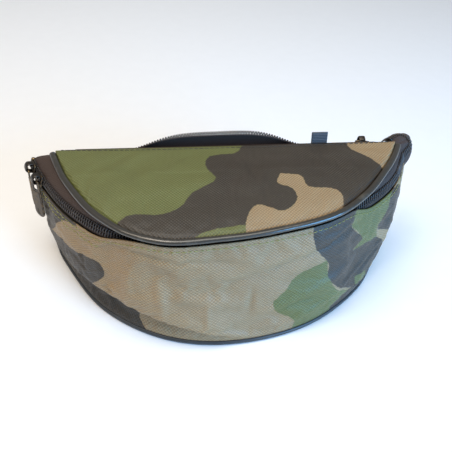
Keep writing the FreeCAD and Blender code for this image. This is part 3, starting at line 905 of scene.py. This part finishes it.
BASE = curve(BASE_EDGE, 201)
edging = tube_object("base_edge_piping", flat(outset(BASE, 0.5), 1.85), oval(3.2, 3.5, 12), EDGING,
                     "bag", "piping")
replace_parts(edging, "bottom_piping")
for name, inset, z, thick, material, slot_, node, seed in (
        ("base_canvas", -1.8, 0.62, 1.0, CANVAS, "canvas", "bottom_panel", 3.0),
        ("base_lining", -4.0, 4.05, 0.5, LINING, "lining", "bottom_lining", 6.0)):
    G = half_moon(outset(BASE, inset), 48.8, 31)
    cloth_at = G.copy()
    G[..., 2] = z + wander(cloth_at, 0.03, seed) * 0.12
    piece = sheet_object(name, G, material, "bag", thick, cloth_at)
    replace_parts(piece, node)
    if name == "base_canvas":
        paint_random(piece, 31.0)
foot_line = flat(outset(BASE, -6.5), 7.1)[10:-10]
binding = tube_object("wall_foot_binding", foot_line, oval(1.4, 3.2, 12, 0.6), BINDING, "bag", "binding")
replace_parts(binding, "base_binding")

# ---------------------------------------------------------------- back, pocket and belt loops

RISE = math.tan(math.radians(3.5))


def back_grid(face, half_low, half_top, low, high, rows=121, cols=41):
    """A sheet across the back, its top edge rolled like the lid."""
    x = np.linspace(-1, 1, rows)[:, None]
    v = np.linspace(0, 1, cols)[None]
    half = half_low + (half_top - half_low) * step(0.55, 1, v)
    X = x * half
    Z = low + (high + X * RISE - low) * v
    return np.stack([X, np.full(X.shape, float(face)), Z], -1)


def back_piece(name, G, wave, seed, material, thick, node):
    cloth_at = cloth_lengths(G)
    G = G.copy()
    free = np.sin(math.pi * np.linspace(0, 1, G.shape[1]))[None] ** 0.5
    G[..., 1] += wander(cloth_at, 0.03, seed) * wave * free
    piece = sheet_object(name, G, material, "bag", thick, cloth_at)
    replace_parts(piece, node)
    return piece


back_skin = back_piece("back_canvas", back_grid(47.9, 129, 122, 5.6, 93.6), 0.12, 21.0, CANVAS,
                       0.9, "back_panel")
paint_random(back_skin, 41.0)
back_piece("back_inner_lining", back_grid(42.1, 125, 118, 5.6, 91.0), 0.2, 22.0, LINING,
           0.5, "back_lining")

# The foam is a quilted pad: it thins at its edge and along its sewn channels.
G = back_grid(45.0, 126, 119, 5.8, 88.0, 91, 31)
u = np.linspace(-1, 1, 91)[:, None]
v = np.linspace(-1, 1, 31)[None]
full = (1 - np.abs(u) ** 10) ** 0.5 * (1 - np.abs(v) ** 8) ** 0.5
full = full * (1 - 0.35 * bell(np.abs(u), 0.38, 0.02))
outer, inner_ = G.copy(), G.copy()
outer[..., 1] += 0.15 + 1.75 * full
inner_[..., 1] -= 0.15 + 1.75 * full
rows_, cols_ = outer.shape[:2]
count = rows_ * cols_
faces = grid_faces(rows_, cols_)
faces += [[i + count for i in face][::-1] for face in grid_faces(rows_, cols_)]
rim = ([(0, j) for j in range(cols_)] + [(i, cols_ - 1) for i in range(1, rows_)]
       + [(rows_ - 1, j) for j in range(cols_ - 2, -1, -1)] + [(i, 0) for i in range(rows_ - 2, 0, -1)])
for a, b in zip(rim, rim[1:] + rim[:1]):
    p, q = a[0] * cols_ + a[1], b[0] * cols_ + b[1]
    faces.append([q, p, p + count, q + count])
both_faces = np.vstack([outer.reshape(-1, 3), inner_.reshape(-1, 3)])
pad = mesh_object("back_foam_pad", both_faces, faces, FOAM, "bag",
                  np.vstack([cloth_lengths(G).reshape(-1, 3)] * 2))
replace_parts(pad, "back_padding")

# The rear pocket is one crowned sheet, sewn down at its sides and foot and slack along its mouth.
rows_, cols_ = 141, 45
x = np.linspace(-1, 1, rows_)[:, None]
v = np.linspace(0, 1, cols_)[None]
side = (1 - np.abs(x) ** 7) ** 0.5
foot_ = (1 - (1 - np.clip(v / 0.22, 0, 1)) ** 2) ** 0.5
X = x * 126.4 + 0 * v
Y = 49.0 + 9.0 * side * foot_ * (0.90 + 0.10 * np.sin(math.pi * v))
Z = 5.8 + (67.2 + 0.018 * X) * v
G = np.stack([X, Y, Z], -1)
pocket_cloth = finer(cloth_lengths(G))
G = settle(G, held(rows_, cols_, "lrb"), slack=0.012, gravity=0.6, cap=2.0, frames=16)
G[..., 1] = np.minimum(G[..., 1], 58.9)
G = finer(G)
G[..., 1] += wander(pocket_cloth, 0.035, 33.0) * 0.35
pocket = sheet_object("rear_pocket_skin", G, CANVAS, "bag", 0.8, pocket_cloth)
paint_random(pocket, 52.0)
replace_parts(pocket, "rear_pocket_panel")
tube_object("rear_pocket_hem", G[2:-2, -1] + [0, 0, -1.2], oval(1.8, 3.6, 12, 0.6), BINDING, "bag",
            "binding")

# The loops are sewn to the pocket's outer face, with a gap of 0.1 mm as in the CAD.
LOOP_FACE = 50 - 1.2 + 10.6 + 0.1
for name, x0 in (("left", -68.0), ("right", 68.0)):
    path = curve([(0, 0.75, 7.6), (0, 0.8, 9.5), (0, 2.6, 12.2), (0, 5.4, 15.0), (0, 6.5, 19.0),
                  (0, 6.7, 28.0), (0, 6.5, 37.0), (0, 5.4, 41.0), (0, 2.6, 43.8), (0, 0.8, 46.5),
                  (0, 0.75, 48.4)], 60)
    strap = sheet_object("belt_strap_" + name, ribbon(path + [x0, LOOP_FACE, 0], 12.3, 15), WEBBING,
                         "bag", 1.3)
    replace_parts(strap, "belt_loop_" + name)
    for z in (8.6, 47.4):
        bar = np.array([[x0 + q, LOOP_FACE + 1.45, z] for q in np.linspace(-11, 11, 60)])
        stitches("belt_strap_%s_tack_%d" % (name, z), bar, np.tile([0.0, 1, 0], (60, 1)), "bag",
                 DARK_THREAD, 1.2, 0.3, 0.3)

# ---------------------------------------------------------------- rear zip, standing a little open

REAR_HALF, REAR_BACK, REAR_DROP = 112.0, 8.5, 9.0
x = np.linspace(-REAR_HALF, REAR_HALF, 200)
gape = np.exp(-np.abs((x + 8) / 54.0) ** 4) * (1 + 0.0012 * (x + 8))
up_t, back_t = TOP_R[:, 2], TOP_R[:, 1]
rear_across = np.tile(back_t * math.cos(ROLL) - up_t * math.sin(ROLL), (200, 1))
rear_face = np.tile(back_t * math.sin(ROLL) + up_t * math.cos(ROLL), (200, 1))
upper = from_top(np.stack([x, REAR_BACK - 0.4 * gape, -REAR_DROP + 0 * x], 1))
lower = from_top(np.stack([x, REAR_BACK + 2.4 * gape, -REAR_DROP + 0 * x], 1))
loose = from_top(np.stack([x, REAR_BACK + 2.0 * gape, -REAR_DROP + 14.6 * gape], 1))
coil_object("rear_coil_upper", (upper, rear_across, rear_face), -1, "bag", "rear_zip_front_coil",
            REAR_COIL)
# The open row of teeth stands on top of its own tape, so its coil's tape side is down.
lean = np.radians(10) * gape
stand = np.outer(np.sin(lean), back_t) - np.outer(np.cos(lean), up_t)
tooth_across = rear_across * (1 - gape[:, None]) + stand * gape[:, None]
tooth_across /= np.linalg.norm(tooth_across, axis=1)[:, None]
tooth_face = np.cross(tangents(loose), tooth_across)
tooth_face *= np.sign((tooth_face * back_t).sum(1))[:, None]
open_coil = coil_object("rear_coil_open", (loose, tooth_across, tooth_face), 1, "bag",
                        "rear_zip_back_coil", REAR_COIL)

# Both tapes run on past the coil and fold in against the back, which shuts the slit's ends.
TAPE_HALF = 120.5
x_long = x * TAPE_HALF / REAR_HALF
ends_in = step(REAR_HALF, TAPE_HALF, np.abs(x_long))
moved = np.outer(x_long - x, TOP_R[:, 0]) - np.outer(ends_in, 7.0 * back_t)
foot_top = from_top(np.stack([x_long, REAR_BACK - 1.6 - 5.6 * ends_in, -REAR_DROP + 4.6 - ends_in], 1))
foot_low = from_top(np.stack([x_long, 0.6 + 0 * x, -REAR_DROP - 7.5 + 4.0 * ends_in], 1))
share = np.linspace(0, 1, 9)[None, :, None]
under = upper + moved - rear_across * 0.3 - rear_face * 1.35
begin = upper + moved - rear_across * TAPE_SIDE - rear_face
shown = begin[:, None] * (1 - share) + foot_top[:, None] * share
tape_object("rear_tape_upper", np.concatenate([under[:, None], shown], 1), "bag", "rear_zip_front_tape")
under = loose + moved + tooth_across * (0.4 + 1.5 * gape[:, None]) - tooth_face * 1.35
begin = loose + moved + tooth_across * 3.3 - tooth_face
sag = lower + moved + rear_across * 5.5 + np.outer(1.2 * gape, back_t)
shown = bent(begin[:, None], sag[:, None], foot_low[:, None], share)
open_tape = tape_object("rear_tape_open", np.concatenate([under[:, None], shown], 1), "bag",
                        "rear_zip_back_tape")
for piece in (open_coil, open_tape):
    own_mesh(piece)

# A strip closes the top of the back between the lid's straight edge and the zip.
LEDGE = ((-1.8, -4.3, 1.04), (0.3, -3.6, 1.04), (0.9, -2.3, 1.04), (1.1, -1.2, 1.03),
         (1.4, -1.9, 1.02), (2.8, -3.0, 1.01), (4.8, -3.8, 1), (6.6, -4.8, 1))
ledge = np.stack([from_top(np.stack([x_long * longer, back + 0 * x, up + 0 * x], 1))
                  for back, up, longer in LEDGE], 1)
sheet_object("rear_top_strip", ledge, BINDING, "bag", 0.7)

# Gussets join the ends of the curved wall, and of the zip above it, to the back.
for name, row, tape_row, x_low, x_high in (("left", wall[0], body_tape[0], -128.5, -121.5),
                                           ("right", wall[-1], body_tape[-1], 128.5, 121.5)):
    outer_line = curve(np.vstack([row[::6], tape_row[::-1][:7:3]]), 41)
    rise = np.linspace(0, 1, 41)
    z_high = 92.6 + x_high * RISE
    inner_line = np.stack([x_low + (x_high - x_low) * step(0.55, 1, rise), 48.2 + 0 * rise,
                           4.6 + (z_high - 4.6) * rise], 1)
    share = np.linspace(0, 1, 13)[None, :, None]
    corner = outer_line[:, None] * (1 - share) + inner_line[:, None] * share
    corner[..., 1] += 0.9 * np.sin(math.pi * share[..., 0]) * np.sin(math.pi * rise)[:, None]
    paint_random(sheet_object("corner_gusset_" + name, corner, CANVAS, "bag", 0.8), 61.0)

places = from_top([(side_ * (REAR_HALF + 1.5), REAR_BACK, -REAR_DROP) for side_ in (-1, 1)])
stops_object("rear_zip_end_stops",
             [stop_arrays(place, rear_across[0], rear_face[0], TOP_R[:, 0]) for place in places],
             "rear_zip_stops")

# A folded tab of webbing behind the lid's back edge.
tab_turn = TOP_R @ np.array(Matrix.Rotation(math.radians(-12), 3, "X"))
tab_base = from_top([(68, 1.6, -5)])[0]
path = np.array([(0, -0.35, 0.2), (0, -0.35, 6), (0, -0.36, 11.6), (0, -0.2, 12.5), (0, 0, 12.8),
                 (0, 0.2, 12.5), (0, 0.36, 11.6), (0, 0.35, 6), (0, 0.35, 0.2)])
tab = ribbon(path, 5.9, 13) @ tab_turn.T + tab_base
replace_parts(sheet_object("hanger_loop", tab, WEBBING, "bag", 0.62), "hanger_tab")

# ---------------------------------------------------------------- sliders and pulls

def plate_arrays(loops, thick, bevel, z=0.0):
    """A flat plate from closed outlines, the later ones being holes, with rounded edges."""
    data = bpy.data.curves.new("plate", "CURVE")
    data.dimensions = "2D"
    data.fill_mode = "BOTH"
    data.extrude = max(thick / 2 - bevel, 0.01)
    data.bevel_depth = bevel
    data.bevel_resolution = 2
    data.offset = -bevel
    for loop in loops:
        spline = data.splines.new("POLY")
        spline.points.add(len(loop) - 1)
        for point, (px, py) in zip(spline.points, loop):
            point.co = (px, py, 0, 1)
        spline.use_cyclic_u = True
    ob = bpy.data.objects.new("plate", data)
    bpy.context.scene.collection.objects.link(ob)
    me = bpy.data.meshes.new_from_object(ob.evaluated_get(bpy.context.evaluated_depsgraph_get()))
    verts = np.array([v.co for v in me.vertices]) + [0, 0, z]
    faces = [list(p.vertices) for p in me.polygons]
    bpy.data.objects.remove(ob)
    bpy.data.curves.remove(data)
    bpy.data.meshes.remove(me)
    return verts, faces, verts.copy()


def rounded(points, count=5, pull=0.25):
    """A closed outline with its corners eased."""
    out = []
    pts = [np.array(p, float) for p in points]
    for a, b, c in zip(pts[-1:] + pts[:-1], pts, pts[1:] + pts[:1]):
        p, q = b + (a - b) * pull, b + (c - b) * pull
        for t in np.linspace(0, 1, count):
            out.append(bent(p, b, q, t))
    return [tuple(p) for p in out]


def ellipse(x, y, a, b, count=22):
    return [(x + a * math.cos(t), y + b * math.sin(t))
            for t in np.linspace(0, 2 * math.pi, count, endpoint=False)]


def placed(arrays, origin, axes):
    """Arrays in a local frame, moved to an origin with its three axes."""
    v, f, c = arrays
    return origin + v @ np.asarray(axes), f, c


def slider_arrays():
    """X along the chain, Y towards the lid, Z out of the face."""
    half = [(-5.6, 0), (-5.5, 2.3), (-3.4, 3.0), (0.4, 3.5), (3.0, 4.15), (4.9, 3.9), (5.6, 2.2),
            (4.9, 0.5)]
    outline = half + [(px, -py) for px, py in half[::-1] if py > 0]
    shape = rounded(outline, 4, 0.3)
    parts = [plate_arrays([shape], 1.2, 0.38, 1.92), plate_arrays([shape], 1.2, 0.38, -1.92)]
    for sign in (-1, 1):
        for z in (1.16, -1.16):
            rail = np.array([(-4.4, 2.6, z), (-2.0, 3.2, z), (0.5, 3.5, z), (2.6, 3.95, z)])
            parts.append(tube_arrays(curve(rail * [1, sign, 1], 12), oval(0.62, 0.5, 8)))
    arch = curve([(0, -3.3, 2.5), (0, -3.35, 4.4), (0, -3.1, 5.9), (0, -2.0, 6.9), (0, 0, 7.25), (0, 2.0, 6.9),
                  (0, 3.1, 5.9), (0, 3.35, 4.4), (0, 3.3, 2.5)], 40)
    lengths = np.tile([1.0, 0, 0], (40, 1))
    parts.append(tube_arrays(arch, oval(4.8, 1.2, 16, 0.7), lengths, np.cross(lengths, tangents(arch))))
    dome = np.array([(-2.4, 1.3, 2.6), (0, 1.3, 2.9), (2.4, 1.3, 2.6)])
    parts.append(tube_arrays(curve(dome, 12), oval(2.4, 3.4, 12)))
    for px in (-2.9, 2.5):
        ridge = np.array([(px, -1.6, 2.55), (px, 0, 2.68), (px, 1.6, 2.55)])
        parts.append(tube_arrays(curve(ridge, 12), oval(0.9, 0.5, 8)))
    return join_arrays(parts)


def pull_arrays():
    """Hangs down -Y from its rail at the origin, flat in XY."""
    top, wide, low = 4.1, 5.0, -33.4
    tip = [(wide * math.cos(t), low + wide + wide * math.sin(t)) for t in np.linspace(0, -math.pi, 15)]
    outline = [(top - 0.5, 0.6), (top, 0.1), *tip, (-top, 0.1), (-top + 0.5, 0.6)]
    slot = rounded([(-1.9, -0.6), (1.9, -0.6), (1.9, -7.4), (-1.9, -7.4)], 4, 0.12)
    inset_tip = [(px * 0.80, (py - low - wide) * 0.80 + low + wide) for px, py in tip]
    rim = [(top * 0.78, -9.4), *inset_tip, (-top * 0.78, -9.4)]
    eye = ellipse(0, low + wide + 0.8, 1.7, 3.1)
    body = plate_arrays([outline, slot], 0.9, 0.28)
    frontal = plate_arrays([rim, eye], 0.42, 0.12, 0.5)
    back_ = plate_arrays([rim, eye], 0.42, 0.12, -0.5)
    return join_arrays([body, frontal, back_])


SLIDER, PULL = slider_arrays(), pull_arrays()
# The pull's rail in a slider's frame: half the blades' gap, a blade and 2.8 mm out of its face.
RAIL = np.array([0.0, -1.8, 1.3 + 1.2 + 2.8])


def slider_set(name, pull, place, across, face, heading):
    """A slider and its pull. The pull hangs straight down, facing as heading says in degrees."""
    axes = np.array([np.cross(-across, face), -across, face])
    v, f, c = placed(SLIDER, place, axes)
    slider = mesh_object(name + "_metal", v, f, METAL, name, c)
    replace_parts(slider, name + "_body", name + "_crown")
    rail = place + RAIL @ axes
    a = math.radians(heading)
    x_axis = np.array([math.cos(a), math.sin(a), 0])
    out_axis = np.cross(x_axis, [0, 0, 1.0])
    v, f, c = placed(PULL, rail, [x_axis, [0, 0, 1.0], out_axis])
    hanging = mesh_object(name + "_pull_tab", v, f, METAL, pull, c)
    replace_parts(hanging, pull)


# Each slider parks at an angle round the circle, and its pull is turned a little from there.
for name, angle, yaw in (("a", -65.6, -4.0), ("b", -60.0, 21.0)):
    place, across, face = (k[0] for k in chain([angle]))
    slider_set("slider_" + name, "pull_" + name, place, across, face, angle + yaw)
place = from_top([(104.0, REAR_BACK, -REAR_DROP)])[0]
slider_set("rear_slider", "rear_pull", place, rear_across[0], rear_face[0], 180.0)

# ---------------------------------------------------------------- seams

nw = wall.shape[1]
wall_n = normals(wall)
if (wall_n[len(wall) // 2, nw // 2] * [0, -1, 0]).sum() < 0:
    wall_n = -wall_n
for name, column, first, last, material in (
        ("hem_stitch_upper", nw - 4, 6, -6, THREAD), ("hem_stitch_lower", nw - 9, 6, 62, THREAD)):
    line = wall[first:last, column] + wall_n[first:last, column] * 0.55
    stitches("front_" + name, line, wall_n[first:last, column], "bag", material)
lid_n = np.tile(TOP_R[:, 2], (len(lid_flat), 1))
back_seam = from_top(lid_flat[8:-8, 2]) + lid_n[8:-8] * 0.45
stitches("lid_back_stitch", back_seam, lid_n[8:-8], "lid", DARK_THREAD)

# ---------------------------------------------------------------- camouflage patches

# Each patch is an outline on the flat cloth, in millimetres, smoothed through its points.
LID_PATCHES = [
    ("green", [(-140, 10), (40, 10), (40, -110), (-140, -110)]),
    ("dark", [(-79, -78), (-68, -70), (-49, -71), (-36, -65), (-28, -52), (-16, -44), (-11, -39),
              (-18, -25), (-14, -12), (5, -9), (17, 3), (90, 20), (150, 20), (130, -85), (60, -106),
              (-55, -110)]),
    ("green", [(-31, -94), (-23, -87), (0, -82), (6, -84), (6, -96), (-12, -104)]),
    ("tan", [(33, -35), (47, -38), (51, -49), (66, -51), (72, -57), (70, -69), (60, -88), (14, -102),
             (5, -90), (7, -74), (15, -65), (30, -71), (41, -61), (39, -50), (30, -45)]),
    ("tan", [(88, 9), (89, -8), (101, -19), (114, -35), (135, -25), (145, 5), (96, 24)]),
]
WALL_PATCHES = [
    ("dark", [(0, 92), (62, 92), (51, 86), (42, 75), (24, 46), (12, 43)]),
    ("dark", [(18, 42), (44, 58), (55, 58), (74, 66), (82, 65), (86, 52), (73, 33), (82, 28), (94, 34),
              (99, 27), (107, 29), (102, 8), (105, -4), (20, -4)]),
    ("green", [(222, 60), (204, 54), (196, 42), (189, 33), (192, 22), (204, 11), (210, -4), (270, -4),
               (258, 9), (235, 25), (226, 42)]),
    ("dark", [(209, 95), (212, 75), (224, 55), (225, 42), (237, 26), (262, 9), (278, 4), (290, 16),
              (292, 30), (274, 54), (262, 57), (249, 53), (256, 65), (242, 77), (246, 91), (228, 97)]),
    ("green", [(259, 21), (272, 17), (277, 4), (262, 8)]),
    ("dark", [(236, -4), (237, 12), (256, 13), (274, 4), (262, -4)]),
    ("green", [(241, 83), (247, 92), (284, 95), (282, 78), (273, 66), (276, 52), (262, 57), (250, 53),
               (256, 65), (243, 77)]),
    ("dark", [(283, 84), (286, 92), (300, 88), (305, 74), (303, 56), (303, 42), (281, 56), (273, 66),
              (282, 78)]),
]
paint(lid_top, LID_PATCHES)
paint(front, WALL_PATCHES)

# ---------------------------------------------------------------- carried-over nodes

for slot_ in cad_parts["bottom_board"].material_slots:
    slot_.link = "OBJECT"
    slot_.material = BOARD
